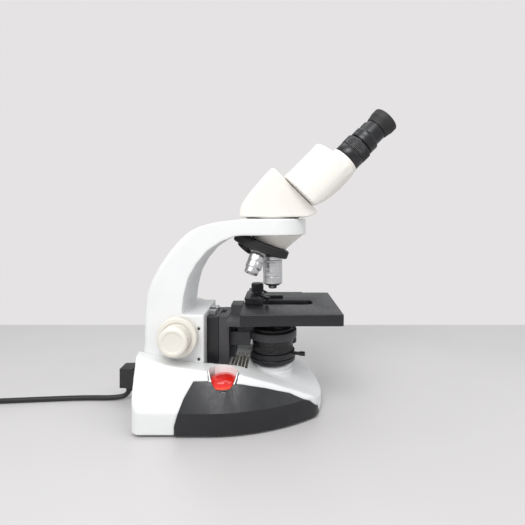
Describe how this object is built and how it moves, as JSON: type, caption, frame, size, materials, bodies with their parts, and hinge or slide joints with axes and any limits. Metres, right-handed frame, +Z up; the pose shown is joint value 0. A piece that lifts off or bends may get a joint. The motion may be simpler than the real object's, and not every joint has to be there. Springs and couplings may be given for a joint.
{
  "type": "binocular compound microscope",
  "caption": "Upright binocular laboratory microscope: C-shaped arm on a lamp base, focusing stage and condenser, revolving nosepiece, inclined eyepiece head and mains lead.",
  "frame": {"origin": "centre of the bounding box's footprint, on the table under the feet, without the mains lead", "axes": "+Z up along the optical axis, +X towards the user, +Y to the user's right"},
  "size_m": [0.6393, 0.1963, 0.3901],
  "materials": {
    "white_paint": "satin",
    "cream_paint": "satin",
    "grey_paint": "satin",
    "black_paint": "satin",
    "black_anodised": "satin",
    "black_plastic": "satin",
    "cream_plastic": "satin",
    "red_knob": "gloss",
    "rubber": "matte",
    "cord_black": "satin",
    "steel": "brushed",
    "dark_steel": "satin",
    "brass": "brushed",
    "objective_chrome": "polished",
    "lens_glass": "polished",
    "lamp_glass": "polished",
    "mirror": "polished",
    "ceramic": "satin",
    "circuit_board": "satin"
  },
  "bodies": {
    "stand": {"base_housing": "white_paint", "left_panel": "black_plastic", "right_panel": "black_plastic", "base_plate": "steel", "feet": "rubber", "screws": "dark_steel", "power_board": "circuit_board", "mains_inlet": "black_plastic", "lamp_socket": "ceramic", "lamp_bulb": "lamp_glass", "fold_mirror": "mirror", "field_collar": "white_paint", "field_lens": "lens_glass", "arm": "white_paint", "focus_guide": "steel", "nosepiece_mount": "cream_paint", "inlet_plug": "cord_black", "power_cord": "cord_black", "cord_coil": "cord_black", "mains_plug": "cord_black"},
    "dimmer": {"dimmer_knob": "red_knob"},
    "head_lock": {"head_clamp": "steel"},
    "carriage": {"focus_carriage": "black_paint", "focus_rack": "brass"},
    "coarse_drive": {"coarse_shaft": "steel", "coarse_knob_left": "cream_plastic", "coarse_knob_right": "cream_plastic"},
    "fine_drive": {"fine_shaft": "steel", "fine_knob_left": "cream_plastic", "fine_knob_right": "cream_plastic"},
    "stage": {"stage_bracket": "grey_paint", "stage_plate": "black_anodised"},
    "cross_slide": {"cross_carriage": "black_anodised"},
    "specimen_holder": {"slide_holder": "black_anodised"},
    "specimen_clip": {"slide_clip": "black_plastic"},
    "front_back_drive": {"fb_knob": "black_plastic"},
    "left_right_drive": {"lr_knob": "black_plastic"},
    "condenser": {"condenser_carrier": "grey_paint", "condenser_body": "black_anodised", "condenser_lens": "lens_glass"},
    "condenser_drive": {"condenser_knob": "black_plastic"},
    "iris": {"iris_ring": "black_anodised"},
    "nosepiece": {"turret": "black_anodised", "grip_ring": "rubber", "objective_40": "objective_chrome", "objective_4": "objective_chrome", "objective_10": "objective_chrome", "objective_lenses": "lens_glass", "dust_plug": "black_plastic"},
    "head": {"head_body": "cream_paint"},
    "left_tube": {"left_wing": "cream_paint"},
    "right_tube": {"right_wing": "cream_paint", "tube_sleeve": "black_anodised", "right_eyepiece": "black_plastic", "right_eyecup": "rubber", "right_eye_lens": "lens_glass"},
    "diopter": {"diopter_ring": "black_anodised"},
    "left_ocular": {"left_eyepiece": "black_plastic", "left_eyecup": "rubber", "left_eye_lens": "lens_glass"}
  },
  "joints": [
    {"name": "dimmer_turn", "type": "hinge", "parent": "stand", "child": "dimmer", "pos_m": [-0.0548, -0.066, 0.052], "axis": [0, 0, 1], "range_deg": [-200, 70]},
    {"name": "head_lock_turn", "type": "hinge", "parent": "stand", "child": "head_lock", "pos_m": [0.004, 0.05, 0.243], "axis": [0, 1, 0], "range_deg": [-30, 270]},
    {"name": "coarse_focus", "type": "slide", "parent": "stand", "child": "carriage", "axis": [0, 0, 1], "range_m": [-0.001, 0.008]},
    {"name": "coarse_knob_turn", "type": "hinge", "parent": "stand", "child": "coarse_drive", "pos_m": [-0.113, 0, 0.103], "axis": [0, -1, 0], "range_deg": [-6.5, 47]},
    {"name": "fine_knob_turn", "type": "hinge", "parent": "stand", "child": "fine_drive", "pos_m": [-0.113, 0, 0.103], "axis": [0, -1, 0], "range_deg": [-1810, 1810]},
    {"name": "fine_focus", "type": "slide", "parent": "carriage", "child": "stage", "axis": [0, 0, 1], "range_m": [-0.001, 0.001]},
    {"name": "stage_front_back", "type": "slide", "parent": "stage", "child": "cross_slide", "axis": [1, 0, 0], "range_m": [-0.013, 0.01]},
    {"name": "stage_left_right", "type": "slide", "parent": "cross_slide", "child": "specimen_holder", "axis": [0, 1, 0], "range_m": [-0.02, 0.025]},
    {"name": "clip_swing", "type": "hinge", "parent": "specimen_holder", "child": "specimen_clip", "pos_m": [-0.018, 0.02, 0.14], "axis": [0, 0, 1], "range_deg": [0, 40]},
    {"name": "front_back_knob_turn", "type": "hinge", "parent": "stage", "child": "front_back_drive", "pos_m": [0.028, 0.06, 0.095], "axis": [0, 0, -1], "range_deg": [-125, 97]},
    {"name": "left_right_knob_turn", "type": "hinge", "parent": "stage", "child": "left_right_drive", "pos_m": [0.028, 0.06, 0.07], "axis": [0, 0, 1], "range_deg": [-193, 240]},
    {"name": "condenser_height", "type": "slide", "parent": "stage", "child": "condenser", "axis": [0, 0, 1], "range_m": [0, 0.0085]},
    {"name": "condenser_knob_turn", "type": "hinge", "parent": "condenser", "child": "condenser_drive", "pos_m": [-0.04, 0.038, 0.09], "axis": [0, -1, 0], "range_deg": [-1, 98.5]},
    {"name": "iris_turn", "type": "hinge", "parent": "condenser", "child": "iris", "pos_m": [0.004, 0, 0.066], "axis": [0, 0, 1], "range_deg": [-40, 40]},
    {"name": "nosepiece_turn", "type": "hinge", "parent": "stand", "child": "nosepiece", "pos_m": [0.004, 0, 0.2535], "axis": [0.3502, 0, 0.9367], "continuous": true},
    {"name": "head_turn", "type": "hinge", "parent": "stand", "child": "head", "pos_m": [0.004, 0, 0.25], "axis": [0, 0, 1], "continuous": true},
    {"name": "left_tube_spread", "type": "hinge", "parent": "head", "child": "left_tube", "pos_m": [0.0221, 0, 0.2984], "axis": [0.7071, 0, 0.7071], "range_deg": [-9.8, 6.9]},
    {"name": "right_tube_spread", "type": "hinge", "parent": "head", "child": "right_tube", "pos_m": [0.0221, 0, 0.2984], "axis": [0.7071, 0, 0.7071], "range_deg": [-6.9, 9.8]},
    {"name": "diopter_turn", "type": "hinge", "parent": "left_tube", "child": "diopter", "pos_m": [0.04685, -0.032, 0.27365], "axis": [0.7071, 0, 0.7071], "range_deg": [-181, 181]},
    {"name": "left_ocular_travel", "type": "slide", "parent": "left_tube", "child": "left_ocular", "axis": [0.7071, 0, 0.7071], "range_m": [-0.002, 0.002]}
  ],
  "couplings": [
    {"joint": "coarse_knob_turn", "follows": "coarse_focus", "rad_per_m": 100},
    {"joint": "fine_knob_turn", "follows": "fine_focus", "rad_per_m": 31416},
    {"joint": "front_back_knob_turn", "follows": "stage_front_back", "rad_per_m": 166.67},
    {"joint": "left_right_knob_turn", "follows": "stage_left_right", "rad_per_m": 166.67},
    {"joint": "condenser_knob_turn", "follows": "condenser_height", "rad_per_m": 200},
    {"joint": "right_tube_spread", "follows": "left_tube_spread", "ratio": -1},
    {"joint": "diopter_turn", "follows": "left_ocular_travel", "rad_per_m": 1570.8}
  ]
}
